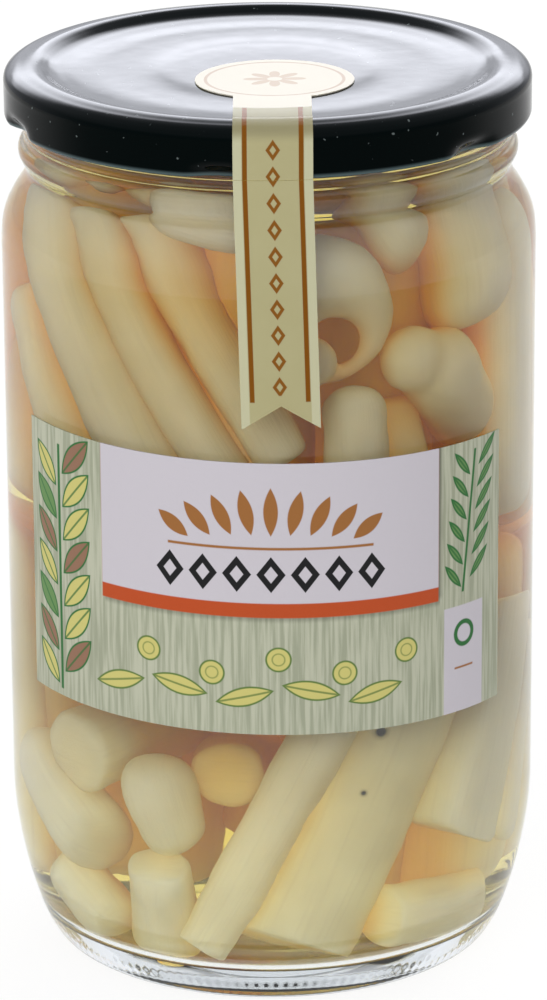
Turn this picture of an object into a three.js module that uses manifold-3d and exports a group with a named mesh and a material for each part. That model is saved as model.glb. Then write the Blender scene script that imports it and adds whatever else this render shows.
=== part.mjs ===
// A sealed glass jar of peeled salsify root sticks in brine.
// Millimetres, +Z up, the origin at the middle of the jar's foot, the label facing -Y.
import * as THREE from 'three';
import { mergeVertices } from 'three/addons/utils/BufferGeometryUtils.js';
import Module from 'manifold-3d';

const wasm = await Module();
wasm.setup();
const { Manifold, Mesh: SolidMesh } = wasm;

// Driving dimensions.
const BODY_R = 43.25;            // outside radius of the glass
const WALL = 2.35;               // glass thickness in the body
const RIM_Z = 146.5;             // sealing rim of the jar
const LID_R = 42.4;              // outside radius of the lid's skirt
const LID_BOTTOM = 140.0;        // lower edge of the lid
const LID_TOP = 148.45;          // crest of the lid's raised ring
const TIN = 0.5;                 // thickness of the lid's sheet
const LUGS = 6;                  // lugs on the lid, and thread ramps on the neck
const LUG_ANGLE = -10.5;         // degrees from the label's middle to the first lug
const FILL_Z = 141.0;            // level of the brine
const SKIN_GAP = 0.1;            // between the glass or lid and the paper on it
const PAPER = 0.2;               // thickness of the label and the seal
const TOUCH = 0.3;               // gap left where two pieces meet
const AROUND = 40;               // sides of the turned pieces
const STICK_SIDES = 7;
const BRINE_GAP = 0.15;          // left between the brine and what it wets
const CONTACT = 1.2;             // width of the dry spot where two sticks touch

const radians = THREE.MathUtils.degToRad;

// A point at an angle round the jar (0 faces -Y, 90 faces +X), a height and a radius.
function onJar(angle, z, radius) {
  const a = radians(angle);
  return new THREE.Vector3(radius * Math.sin(a), -radius * Math.cos(a), z);
}

// ---- from geometries to solids and back ----

function toSolid(geometry) {
  const bare = new THREE.BufferGeometry();
  bare.setAttribute('position', geometry.getAttribute('position'));
  bare.setIndex(geometry.getIndex());
  const welded = mergeVertices(bare, 1e-4);
  const index = welded.getIndex().array;
  const faces = [];
  for (let i = 0; i < index.length; i += 3) {
    const [a, b, c] = [index[i], index[i + 1], index[i + 2]];
    if (a !== b && b !== c && c !== a) faces.push(a, b, c);
  }
  return new Manifold(new SolidMesh({
    numProp: 3,
    vertProperties: new Float32Array(welded.getAttribute('position').array),
    triVerts: new Uint32Array(faces),
  }));
}

function fromSolid(solid) {
  const mesh = solid.getMesh();
  const geometry = new THREE.BufferGeometry();
  geometry.setAttribute('position', new THREE.BufferAttribute(mesh.vertProperties, 3));
  geometry.setIndex(new THREE.BufferAttribute(mesh.triVerts, 1));
  geometry.computeVertexNormals();
  return geometry;
}

// A turned piece about +Z from [radius, z] pairs that run from its foot up the outside.
function turned(profile) {
  const points = profile.map(([r, z]) => new THREE.Vector2(r, z));
  return new THREE.LatheGeometry(points, AROUND).rotateX(Math.PI / 2);
}

// A box whose corners (u, v, w from 0 to 1) are moved to the place that map gives.
function bentBox(map, uSteps, vSteps) {
  const geometry = new THREE.BoxGeometry(1, 1, 1, uSteps, vSteps, 1);
  const position = geometry.getAttribute('position');
  for (let i = 0; i < position.count; i++) {
    const place = map(position.getX(i) + 0.5, position.getY(i) + 0.5, position.getZ(i) + 0.5);
    position.setXYZ(i, place.x, place.y, place.z);
  }
  return geometry;
}

// ---- glass jar ----

// Outside of the jar from the middle of its pushed-up base to the rim.
const JAR_OUTSIDE = [
  [0, 2.6], [24, 2.4], [31.4, 1.2], [32.8, 0], [34.8, 0],
  [36.5, 0.9], [38.3, 3.6], [40.0, 8.0], [41.0, 11.5], [42.0, 16.0], [42.75, 20.5], [BODY_R, 27],
  [BODY_R, 120.8], [42.6, 124.6], [41.0, 127.7], [39.3, 130.4], [38.9, 131.7],
  [40.2, 134.2], [40.2, 135.3], [39.2, 136.8], [39.1, 145.4], [38.6, RIM_Z],
];

// Inside of the jar from the rim down to the middle of the floor.
const JAR_INSIDE = [
  [36.8, RIM_Z], [36.1, 145.6], [36.1, 132.6], [36.6, 130.6], [38.3, 127.4], [40.1, 123.6],
  [BODY_R - WALL, 120.4], [BODY_R - WALL, 27], [40.4, 20.4], [39.3, 14.6],
  [37.2, 9.4], [34.0, 6.2], [28.6, 5.0], [0, 5.6],
];

// One of the sloping ramps round the neck that the lid's lugs run under.
const RAMP = { inner: 38.8, outer: 40.5, low: 141.75, high: 143.8, height: 1.3, span: 44 };

function threadRamp(start) {
  return bentBox((u, v, w) => {
    const taper = 1 - 0.75 * Math.abs(2 * u - 1) ** 6;
    const radius = RAMP.inner + w * (RAMP.outer - RAMP.inner) * taper;
    const under = THREE.MathUtils.lerp(RAMP.low, RAMP.high, u);
    const inset = w * RAMP.height * 0.25;
    return onJar(start + u * RAMP.span, under + inset + v * (RAMP.height - 2 * inset), radius);
  }, 8, 1);
}

function glassJar() {
  let solid = toSolid(turned([...JAR_OUTSIDE, ...JAR_INSIDE]));
  for (let i = 0; i < LUGS; i++) {
    const start = LUG_ANGLE - 5 + i * 360 / LUGS;
    solid = solid.add(toSolid(threadRamp(start)));
  }
  return fromSolid(solid);
}

// ---- twist-off lid ----

// Outside of the lid from the middle of its panel, over the raised ring, to the skirt's foot.
const LID_OUTSIDE = [
  [0, 146.75], [18.6, 146.75], [20.0, 146.95], [29.5, 147.0], [33.5, 147.12], [35.8, 147.4],
  [37.4, 147.8], [38.5, 148.25], [39.2, LID_TOP], [40.3, LID_TOP], [41.4, 148.15],
  [42.15, 147.45], [LID_R, 146.5], [LID_R, 140.5], [42.2, 140.1], [41.8, LID_BOTTOM],
];

// Inside of the lid from the curl at the skirt's foot back to the middle of the panel.
const LID_INSIDE = [
  [41.4, 140.2], [41.3, 140.7], [LID_R - TIN, 141.4], [LID_R - TIN, 146.3], [41.5, 147.1],
  [40.8, 147.7], [40.1, LID_TOP - TIN], [39.4, LID_TOP - TIN], [38.9, 147.8], [37.6, 147.35],
  [36.0, 146.95], [33.6, 146.66], [29.5, 146.52], [20.1, 146.47], [18.7, 146.25], [0, 146.25],
];

const LUG = { inner: 39.8, outer: 41.7, low: 140.3, high: 141.25, halfAngle: 4.5 };

function lidLug(angle) {
  return bentBox((u, v, w) => onJar(
    angle + (2 * u - 1) * LUG.halfAngle * (0.7 + 0.3 * w),
    LUG.low + v * (LUG.high - LUG.low),
    THREE.MathUtils.lerp(LUG.inner, LUG.outer, w),
  ), 3, 1);
}

function lidCap() {
  // The profile runs from the top down, so it is reversed to keep the faces outwards.
  let solid = toSolid(turned([...LID_OUTSIDE, ...LID_INSIDE].reverse()));
  for (let i = 0; i < LUGS; i++) {
    solid = solid.add(toSolid(lidLug(LUG_ANGLE + i * 360 / LUGS)));
  }
  return fromSolid(solid);
}

// The ring of sealing compound that lies in the lid's channel, over the jar's rim.
function lidLiner() {
  const low = RIM_Z + SKIN_GAP;
  return turned([
    [37.1, low], [40.2, low], [41.0, 147.15], [40.5, 147.55], [39.9, 147.75],
    [39.3, 147.75], [38.7, 147.55], [37.3, 147.1], [37.1, low],
  ]);
}

// ---- paper ----

// The label wraps part of the body and was stuck on slightly turned.
const LABEL = { from: -61, to: 57, low: 49.3, high: 94.6, slope: 0.023 };

function label() {
  const inner = BODY_R + SKIN_GAP;
  return bentBox((u, v, w) => {
    const angle = THREE.MathUtils.lerp(LABEL.from, LABEL.to, u);
    const drop = LABEL.slope * BODY_R * radians(angle);
    const z = THREE.MathUtils.lerp(LABEL.low, LABEL.high, v) - drop;
    return onJar(angle, z, inner + w * PAPER);
  }, 16, 1);
}

// The seal is a round head on the lid with a strip that runs over its edge and down the jar.
const SEAL = {
  headR: 12.7, headX: 1.1, headY: -7.3, width: 12.7,
  topX: 0.7, tipZ: 100.2, notchZ: 104.0,
};

// Points of a [radius, z] path moved sideways, to its outer side, by a distance.
function offsetPath(path, distance) {
  return path.map(([r, z], i) => {
    const [r0, z0] = path[Math.max(i - 1, 0)];
    const [r1, z1] = path[Math.min(i + 1, path.length - 1)];
    const length = Math.hypot(r1 - r0, z1 - z0);
    return [r - distance * (z1 - z0) / length, z + distance * (r1 - r0) / length];
  });
}

// A paper strip on a [radius, z] path, with its middle at centreX(z) and its foot cut by endZ.
function strip(path, centreX, endZ = (u, z) => z) {
  const under = offsetPath(path, SKIN_GAP);
  const over = offsetPath(path, SKIN_GAP + PAPER);
  return bentBox((u, v, w) => {
    const row = Math.round((1 - v) * (path.length - 1));
    const r = THREE.MathUtils.lerp(under[row][0], over[row][0], w);
    let z = THREE.MathUtils.lerp(under[row][1], over[row][1], w);
    const x = centreX(z) + (u - 0.5) * SEAL.width;
    if (row === path.length - 1) z = endZ(u, z);
    return new THREE.Vector3(x, -Math.sqrt(r * r - x * x), z);
  }, 4, path.length - 1);
}

function sealCap() {
  const head = new THREE.CylinderGeometry(SEAL.headR, SEAL.headR, PAPER, 40).rotateX(Math.PI / 2);
  const onPanel = LID_OUTSIDE[3][1] + SKIN_GAP + PAPER / 2;
  head.translate(SEAL.headX, SEAL.headY, onPanel);
  const overLid = [
    [17.0, 146.95], ...LID_OUTSIDE.filter(([r, z]) => r > 29 && z > 141), [LID_R, LID_BOTTOM + TOUCH],
  ];
  const stripSolid = toSolid(strip(overLid, () => SEAL.topX));
  return fromSolid(toSolid(head).add(stripSolid));
}

function sealTail() {
  const top = LID_BOTTOM;
  const path = [
    [LID_R, top], [42.9, 134], [43.2, 127], [BODY_R, 122.6], [BODY_R, 119], [BODY_R, 111],
    [BODY_R, SEAL.tipZ],
  ];
  const centre = (z) => SEAL.topX + (top - z) * 0.0265;
  const swallowTail = (u, z) => z + (SEAL.notchZ - SEAL.tipZ) * (1 - Math.abs(2 * u - 1));
  return strip(path, centre, swallowTail);
}

// ---- salsify sticks ----

// One stick per row: radii at its two cut ends, then each end as [angle, z, distance of its
// axis from the jar's axis]. These lie against the wall above and below the label, and are
// held where they are; the others may move to find room.
const UPPER_FRONT = [
  [4.4, 4.9, [-86, 105, 31.0], [-50, 84, 31.0]],
  [5.9, 5.5, [-81, 131, 32.8], [-23, 85, 33.4]],
  [3.9, 4.1, [-52, 131.5, 33.4], [-3, 84, 36.2]],
  [4.1, 4.2, [-37, 133, 33.2], [7.5, 95, 36.0]],
  [4.6, 4.8, [-27, 131.5, 25.0], [16, 132.0, 30.0]],
  [4.0, 4.4, [30, 137, 22.0], [37.5, 128.5, 36.2]],
  [6.0, 7.1, [68, 138, 24.0], [53.5, 111.5, 33.0]],
  [5.6, 6.0, [37, 109, 34.0], [62, 88, 33.4]],
  [4.8, 4.9, [22.4, 106, 35.4], [26, 76, 35.4]],
  [4.8, 5.2, [77, 127, 33.4], [77, 76, 35.2]],
  [4.6, 4.6, [40, 99, 32.0], [41, 62, 34.0]],
];
const LOWER_FRONT = [
  [6.4, 5.4, [-50.5, 38.6, 39.0], [-32, 44, 14]],
  [6.1, 5.6, [-26.3, 40.2, 33.6], [-27, 26.6, 33.4]],
  [4.5, 4.4, [-28.5, 24.2, 34.6], [-30, 5.9, 31.4]],
  [5.1, 4.6, [-17.0, 37.6, 31.5], [-4, 36, 6]],
  [4.9, 3.6, [22, 60, 35.2], [-21, 7.2, 32.6]],
  [8.5, 7.6, [53, 58, 31.2], [5.5, 7.4, 27.6]],
  [6.6, 6.2, [69, 62, 33.2], [47, 25.5, 33.8]],
  [5.0, 4.8, [29, 13.4, 31.6], [68, 10.8, 30.0]],
  [4.4, 4.2, [84, 54, 35.6], [70, 20, 34.9]],
  [5.0, 5.3, [-80, 35.5, 34.6], [-46.5, 23.6, 34.6]],
  [4.5, 4.4, [-66, 17.5, 33.6], [-44.5, 9.6, 30.6]],
];

// One thin stick was bent into a hook in the jar: an arc that faces the glass.
const HOOK = { angle: 11.0, z: 116.6, distance: 33.8, radius: 4.8, bend: 6.7, from: 150, to: -150 };

function hookPoint(turn) {
  const centre = onJar(HOOK.angle, HOOK.z, HOOK.distance);
  const across = onJar(HOOK.angle + 90, 0, 1);
  return centre.addScaledVector(across, HOOK.bend * Math.cos(radians(turn)))
    .add(new THREE.Vector3(0, 0, HOOK.bend * Math.sin(radians(turn))));
}

// Rings of sticks that stand out of sight of the label: [count, first angle, last angle,
// top z, foot z, distance from the axis, radius, lean in degrees round the jar].
const RINGS = [
  [7, 95, 262, 136, 75, 33.0, 7.1, 8],
  [7, 100, 272, 70, 7, 33.0, 6.8, -8],
  [2, -50, -16, 79, 49, 34.0, 5.6, 8],
  [6, 20, 320, 139, 74, 18.6, 6.8, 10],
  [6, 36, 336, 71, 8, 18.6, 6.9, -10],
  [1, 0, 0, 134, 72, 3, 7.0, 6],
];

const ROUNDING = 0.6;            // how far the rounded end of a stick reaches, in radii

function standing([count, first, last, top, foot, distance, radius, lean], ring) {
  const rows = [];
  for (let i = 0; i < count; i++) {
    const angle = count > 1 ? first + (last - first) * i / (count - 1) : first;
    const wave = Math.sin(2.4 * i + ring);
    const size = radius * (1 + 0.14 * wave);
    const turn = lean * (0.5 + 0.6 * Math.cos(1.7 * i + ring));
    rows.push([
      size * 0.95, size * 1.05,
      [angle - turn, top - 5 * Math.abs(wave), distance], [angle + turn, foot + 3 * (1 + wave), distance],
    ]);
  }
  return rows;
}

// A stick is kept as the two centres of its rounded ends, c0 and c1, while it is settled.
function makeStick([r0, r1, end0, end1], held) {
  const c0 = onJar(...end0);
  const c1 = onJar(...end1);
  const along = c1.clone().sub(c0).normalize();
  c0.addScaledVector(along, ROUNDING * r0);
  c1.addScaledVector(along, -ROUNDING * r1);
  return { r0, r1, c0, c1, length: c0.distanceTo(c1), give: held ? 0.06 : 1 };
}

// The share of a stick's length at which its axis is nearest to a point.
function nearestShare({ c0, c1, length }, point) {
  const along = c1.clone().sub(c0);
  return THREE.MathUtils.clamp(point.clone().sub(c0).dot(along) / length ** 2, 0, 1);
}

// The closest points of two sticks' axes, as shares of their lengths.
function closest(a, b) {
  const u = a.c1.clone().sub(a.c0);
  const v = b.c1.clone().sub(b.c0);
  const w = a.c0.clone().sub(b.c0);
  const across = u.dot(u) * v.dot(v) - u.dot(v) ** 2;
  const s = across > 1e-9 ? (u.dot(v) * v.dot(w) - v.dot(v) * u.dot(w)) / across : 0;
  const onA = a.c0.clone().lerp(a.c1, THREE.MathUtils.clamp(s, 0, 1));
  const t = nearestShare(b, onA);
  return [nearestShare(a, b.c0.clone().lerp(b.c1, t)), t];
}

// Where two tapering sticks come nearest to each other, and how far apart their sides are there.
function tightest(a, b) {
  const pairs = [
    closest(a, b),
    [0, nearestShare(b, a.c0)], [1, nearestShare(b, a.c1)],
    [nearestShare(a, b.c0), 0], [nearestShare(a, b.c1), 1],
  ];
  const meetings = pairs.map(([s, t]) => {
    const from = a.c0.clone().lerp(a.c1, s);
    const to = b.c0.clone().lerp(b.c1, t);
    const radii = THREE.MathUtils.lerp(a.r0, a.r1, s) + THREE.MathUtils.lerp(b.r0, b.r1, t);
    return { s, t, from, to, gap: from.distanceTo(to) - radii };
  });
  return meetings.reduce((least, meeting) => (meeting.gap < least.gap ? meeting : least));
}

function shift(stick, share, push) {
  const weight = (1 - share) ** 2 + share ** 2;
  stick.c0.addScaledVector(push, stick.give * (1 - share) / weight);
  stick.c1.addScaledVector(push, stick.give * share / weight);
}

function partSticks(a, b) {
  const { s, t, from, to, gap } = tightest(a, b);
  if (gap >= TOUCH) return;
  const push = to.clone().sub(from).setLength((TOUCH - gap) / (a.give + b.give));
  shift(b, t, push);
  shift(a, s, push.negate());
}

// Moves an end inwards, square to the nearest stretch of glass, until it is clear of it.
function keepInside(centre, radius) {
  const distance = Math.hypot(centre.x, centre.y);
  for (let i = 1; i < JAR_INSIDE.length; i++) {
    const [r0, z0] = JAR_INSIDE[i - 1];
    const [r1, z1] = JAR_INSIDE[i];
    const length = Math.hypot(r1 - r0, z1 - z0);
    const [nr, nz] = [(z1 - z0) / length, -(r1 - r0) / length];
    const depth = (distance - r0) * nr + (centre.z - z0) * nz;
    const along = ((distance - r0) * (r1 - r0) + (centre.z - z0) * (z1 - z0)) / length;
    if (along < -radius || along > length + radius || depth > radius) continue;
    const move = radius - depth;
    centre.z += nz * move;
    const scale = 1 + nr * move / Math.max(distance, 1);
    centre.x *= scale;
    centre.y *= scale;
  }
  centre.z = Math.min(centre.z, FILL_Z - radius - 0.5);
}

function settle(sticks, fixed, rounds) {
  const wallGap = TOUCH + BRINE_GAP;
  for (let round = 0; round < rounds; round++) {
    for (let i = 0; i < sticks.length; i++) {
      for (let j = i + 1; j < sticks.length; j++) partSticks(sticks[i], sticks[j]);
      for (const other of fixed) partSticks(sticks[i], other);
    }
    for (const stick of sticks) {
      keepInside(stick.c0, stick.r0 + wallGap);
      keepInside(stick.c1, stick.r1 + wallGap);
      const middle = stick.c0.clone().add(stick.c1).multiplyScalar(0.5);
      const half = stick.c1.clone().sub(middle).setLength(stick.length / 2);
      stick.c0.copy(middle).sub(half);
      stick.c1.copy(middle).add(half);
    }
  }
}

// The stick as a turned piece along +Z from its first cut end, grown all round by extra.
function stickGeometry({ r0, r1, length }, extra = 0) {
  const full = length + ROUNDING * (r0 + r1);
  const [a, b] = [r0 + extra, r1 + extra];
  const profile = [
    [0, -extra], [0.76 * a, -extra], [a, 0.45 * a - extra],
    [b, full + extra - 0.45 * b], [0.76 * b, full + extra], [0, full + extra],
  ];
  const points = profile.map(([r, z]) => new THREE.Vector2(r, z));
  return new THREE.LatheGeometry(points, STICK_SIDES).rotateX(Math.PI / 2);
}

function stickPlace({ c0, c1, r0 }) {
  const along = c1.clone().sub(c0).normalize();
  const turn = new THREE.Quaternion().setFromUnitVectors(new THREE.Vector3(0, 0, 1), along);
  return new THREE.Matrix4().compose(
    c0.clone().addScaledVector(along, -ROUNDING * r0), turn, new THREE.Vector3(1, 1, 1));
}

const sticks = [
  ...[...UPPER_FRONT, ...LOWER_FRONT].map((row) => makeStick(row, true)),
  ...RINGS.flatMap(standing).map((row) => makeStick(row, false)),
];

// The hook as short straight stretches that the sticks are kept clear of.
const HOOK_STRETCHES = 5;
const hookStretches = Array.from({ length: HOOK_STRETCHES }, (_, i) => {
  const at = (k) => hookPoint(THREE.MathUtils.lerp(HOOK.from, HOOK.to, k / HOOK_STRETCHES));
  const [c0, c1] = [at(i), at(i + 1)];
  return { r0: HOOK.radius, r1: HOOK.radius, c0, c1, length: c0.distanceTo(c1), give: 1e-6 };
});
settle(sticks, hookStretches, 600);

function hookGeometry(extra = 0) {
  const half = extra / HOOK.bend * 180 / Math.PI;
  const steps = 10;
  const points = Array.from({ length: steps + 1 }, (_, i) => (
    hookPoint(THREE.MathUtils.lerp(HOOK.from + half, HOOK.to - half, i / steps))));
  const section = new THREE.Shape(Array.from({ length: STICK_SIDES }, (_, i) => {
    const turn = 2 * Math.PI * i / STICK_SIDES;
    const radius = HOOK.radius + extra;
    return new THREE.Vector2(radius * Math.cos(turn), radius * Math.sin(turn));
  }));
  return new THREE.ExtrudeGeometry(section, {
    steps, extrudePath: new THREE.CatmullRomCurve3(points), bevelEnabled: false,
  });
}

// ---- brine ----

// A thin bar between two points.
function bar(from, to, width) {
  const along = to.clone().sub(from);
  const geometry = new THREE.BoxGeometry(width, width, along.length());
  const turn = new THREE.Quaternion().setFromUnitVectors(
    new THREE.Vector3(0, 0, 1), along.clone().normalize());
  const middle = from.clone().add(to).multiplyScalar(0.5);
  return geometry.applyQuaternion(turn).translate(middle.x, middle.y, middle.z);
}

// Every stick leans on the glass or on a stick nearer to the glass, and no brine gets in there.
function contact(stick, all) {
  const out = (c) => Math.hypot(c.x, c.y);
  const reach = (other) => Math.max(out(other.c0), out(other.c1));
  const end = out(stick.c0) > out(stick.c1) ? stick.c0 : stick.c1;
  const glass = end.clone().setZ(0).setLength(BODY_R).setZ(end.z);
  const onGlass = { from: end, to: glass, gap: BODY_R - WALL - out(end) - stick.r0 };
  const meetings = all.filter((other) => reach(other) > reach(stick))
    .map((other) => tightest(stick, other));
  const best = meetings.reduce((least, meeting) => (meeting.gap < least.gap ? meeting : least), onGlass);
  return bar(best.from, best.to, CONTACT);
}

// The brine fills the jar up to FILL_Z, less the sticks and a hair of room round them.
function brine(all) {
  const wall = JAR_INSIDE.filter(([, z]) => z < FILL_Z - 1);
  const inset = wall.map(([r, z], i) => {
    const [r0, z0] = wall[Math.max(i - 1, 0)];
    const [r1, z1] = wall[Math.min(i + 1, wall.length - 1)];
    const length = Math.hypot(r1 - r0, z1 - z0);
    const inward = BRINE_GAP * (z1 - z0) / length;
    return [r > 0 ? r + inward : 0, z - BRINE_GAP * (r1 - r0) / length];
  });
  const full = toSolid(turned([[0, FILL_Z], [inset[0][0], FILL_Z], ...inset].reverse()));
  const holes = all.flatMap((stick) => {
    const hole = stickGeometry(stick, TOUCH);
    return [toSolid(hole.applyMatrix4(stickPlace(stick))), toSolid(contact(stick, all))];
  });
  holes.push(toSolid(hookGeometry(TOUCH)), toSolid(contact(hookStretches[2], all)));
  const pieces = full.subtract(Manifold.union(holes)).decompose();
  return fromSolid(pieces.reduce((a, b) => (b.volume() > a.volume() ? b : a)));
}

// ---- the jar put together ----

const look = (color, roughness, metalness = 0, opacity = 1) => new THREE.MeshStandardMaterial({
  color, roughness, metalness, opacity, transparent: opacity < 1,
});

const part = new THREE.Group();

function add(name, geometry, material, parent = part) {
  const mesh = new THREE.Mesh(geometry, material);
  mesh.name = name;
  parent.add(mesh);
  return mesh;
}

add('glass_jar', glassJar(), look(0xf2f6f4, 0.05, 0, 0.3));
add('label', label(), look(0xadb09b, 0.6));
add('seal_tail', sealTail(), look(0xb4b089, 0.55));

const lid = new THREE.Group();
part.add(lid);
add('lid_cap', lidCap(), look(0x041512, 0.2, 0.3), lid);
add('lid_liner', lidLiner(), look(0xd8d4c8, 0.5), lid);
add('seal_cap', sealCap(), look(0xb4b089, 0.55), lid);

add('brine', brine(sticks), look(0xd9b25a, 0.05, 0, 0.4));
sticks.forEach((stick, i) => {
  const number = String(i + 1).padStart(2, '0');
  const mesh = add(`salsify_stick_${number}`, stickGeometry(stick), look(0xd8cda8, 0.5));
  mesh.applyMatrix4(stickPlace(stick));
});

add('salsify_hook', hookGeometry(), look(0xd8cda8, 0.5));

export default part;
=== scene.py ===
# A sealed glass jar of peeled salsify root sticks in brine.
import math
import random

import bmesh
import bpy
from mathutils import Matrix, Vector


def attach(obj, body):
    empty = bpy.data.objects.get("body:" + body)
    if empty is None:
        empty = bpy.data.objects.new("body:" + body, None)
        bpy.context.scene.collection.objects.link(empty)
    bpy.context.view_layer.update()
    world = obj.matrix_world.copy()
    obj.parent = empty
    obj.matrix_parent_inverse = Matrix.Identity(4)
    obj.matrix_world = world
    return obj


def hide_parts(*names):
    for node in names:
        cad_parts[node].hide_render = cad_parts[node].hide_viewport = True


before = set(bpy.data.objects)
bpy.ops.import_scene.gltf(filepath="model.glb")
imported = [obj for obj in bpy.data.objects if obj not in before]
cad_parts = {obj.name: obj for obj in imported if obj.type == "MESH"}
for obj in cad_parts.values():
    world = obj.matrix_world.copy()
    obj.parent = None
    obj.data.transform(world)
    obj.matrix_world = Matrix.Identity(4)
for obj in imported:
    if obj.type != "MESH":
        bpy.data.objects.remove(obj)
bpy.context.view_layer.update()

mm = 0.001


# ---- The table, the light and the camera ----
# A pale table top that runs out of sight, in an even white room with one soft lamp in front of
# the jar and one behind it. Gloss alone shows a bright ceiling panel behind the jar, and shows
# what lies far in front of it dimmer than it is.

class Maths:
    """A shader socket on which Python's operators add their Math nodes."""

    def __init__(self, finish, socket):
        self.finish = finish
        self.socket = socket

    def math(self, operation, *others):
        values = dict(enumerate([self, *others]))
        return self.finish.node("Math", {"operation": operation}, values)

    def __add__(self, other):
        return self.math("ADD", other)

    def __sub__(self, other):
        return self.math("SUBTRACT", other)

    def __rsub__(self, other):
        return self.finish.node("Math", {"operation": "SUBTRACT"}, {0: other, 1: self})

    def __mul__(self, other):
        return self.math("MULTIPLY", other)

    def __truediv__(self, other):
        return self.math("DIVIDE", other)

    def __pow__(self, other):
        return self.math("POWER", other)

    def __abs__(self):
        return self.math("ABSOLUTE")

    __radd__ = __add__
    __rmul__ = __mul__


class Finish:
    """A material, or the world, that is built node by node."""

    def __init__(self, owner):
        self.owner = owner
        owner.use_nodes = True
        self.tree = owner.node_tree
        self.tree.nodes.clear()

    def node(self, kind, settings, sockets, output=0):
        """Adds a node, sets it up, fills its sockets and gives back one of its outputs."""
        made = self.tree.nodes.new("ShaderNode" + kind)
        for name, value in settings.items():
            setattr(made, name, value)
        for name, value in sockets.items():
            if isinstance(value, Maths):
                self.tree.links.new(value.socket, made.inputs[name])
            else:
                made.inputs[name].default_value = value
        return Maths(self, made.outputs[output]) if made.outputs else None

    def range(self, value, low, high, to_low=0.0, to_high=1.0):
        """The value's way from low to high, eased at both ends."""
        sockets = {"Value": value, "From Min": low, "From Max": high,
                   "To Min": to_low, "To Max": to_high}
        return self.node("MapRange", {"interpolation_type": "SMOOTHSTEP"}, sockets)

    def blend(self, share, first, second):
        """The first colour going over into the second as share goes from 0 to 1."""
        return self.node("Mix", {"data_type": "RGBA"}, {0: share, 6: first, 7: second}, 2)

    def place(self):
        """Where a point of the piece is, in millimetres, as x, y and z."""
        here = self.node("TexCoord", {}, {}, "Object")
        return [self.node("SeparateXYZ", {}, {0: here}, axis) / mm for axis in "XYZ"]

    def clouds(self, scale, detail=2.0, at=None):
        """A cloudy value about a half, at the piece's own place in metres or at another."""
        at = at or self.node("TexCoord", {}, {}, "Object")
        return self.node("TexNoise", {}, {"Vector": at, "Scale": scale, "Detail": detail}, "Fac")

    def bump(self, strength, height):
        """Where the surface faces once a relief, with its height in millimetres, is on it."""
        return self.node("Bump", {}, {"Strength": strength, "Distance": mm, "Height": height})

    def ray(self, kind):
        """1 for one kind of ray, such as Camera or Glossy, and 0 for all others."""
        return self.node("LightPath", {}, {}, f"Is {kind} Ray")

    def output(self, surface, volume=None):
        kind = "OutputWorld" if isinstance(self.owner, bpy.types.World) else "OutputMaterial"
        sockets = {"Surface": surface}
        if volume:
            sockets["Volume"] = volume
        self.node(kind, {}, sockets)

    def output_letting_light_in(self, surface, color, volume=None):
        """Puts out a surface whose shadow is only a tint of this colour."""
        shade = self.node("BsdfTransparent", {}, {"Color": (*color, 1)})
        both = {0: self.ray("Shadow"), 1: surface, 2: shade}
        self.output(self.node("MixShader", {}, both), volume)


def srgb(red, green, blue):
    """A colour given as a paint chart gives it, from 0 to 255, as light."""
    return tuple((c / 255 / 12.92 if c <= 10 else ((c / 255 + 0.055) / 1.055) ** 2.4)
                 for c in (red, green, blue)) + (1,)


scene = bpy.context.scene
scene.view_settings.view_transform = "Standard"

ROOM_LIGHT = 0.72                 # what the room gives to every side of the object
PANEL_GLARE = 7.4                 # the bright panel's strength in gloss
FRONT_GLARE = 0.42                # what gloss shows of the room far in front,
BACK_GLARE = 0.5                  # and what it shows more of the room behind and overhead

room = Finish(bpy.data.worlds.new("white_room"))
scene.world = room.owner
gloss = room.ray("Glossy")
outwards = room.node("TexCoord", {}, {}, "Generated")
aside = abs(room.node("SeparateXYZ", {}, {0: outwards}, "X"))
behind = room.node("SeparateXYZ", {}, {0: outwards}, "Y")
up = room.node("SeparateXYZ", {}, {0: outwards}, "Z")
# The panel is dim from the horizon up, bright above that, and fades at its top and its sides.
panel = room.range(up, -0.02, 0.2) * 0.2 + room.range(up, 0.2, 0.29) * 0.85
panel = panel * room.range(up, 0.65, 0.4) * room.range(aside, 0.6, 0.3)
panel = panel * room.range(behind, 0.2, 0.4)
pale_room = room.range(behind, -0.2, 0.6).math("MAXIMUM", room.range(up, 0.1, 0.6))
mirrored = FRONT_GLARE + pale_room * BACK_GLARE + panel * PANEL_GLARE
seen = room.ray("Camera").math("MAXIMUM", room.ray("Transmission"))
strength = seen + (1 - seen) * (gloss * mirrored + (1 - gloss) * ROOM_LIGHT)
tint = room.blend(gloss, (1, 1, 1, 1), (0.9, 0.92, 1, 1))
room.output(room.node("Background", {}, {"Color": tint, "Strength": strength}))

TABLE_WHITE = 1.04                # how bright the table is seen,
TABLE_GLARE = 0.36                # the share of that which gloss shows of it far in front,
TABLE_EVEN = 0.86                 # and how much of what is seen owes nothing to the lamps

bpy.ops.object.select_all(action="DESELECT")
bpy.ops.mesh.primitive_plane_add(size=6, location=(0, 0, -0.2 * mm))
table = bpy.context.object
table.name = "table_top"
bpy.ops.object.transform_apply(location=True, rotation=True, scale=True)
pale = Finish(bpy.data.materials.new("pale_table"))
gloss = pale.ray("Glossy")
lit = pale.node("BsdfDiffuse", {}, {"Color": (0.86, 0.86, 0.86, 1)})
x, y, z = pale.place()
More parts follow.
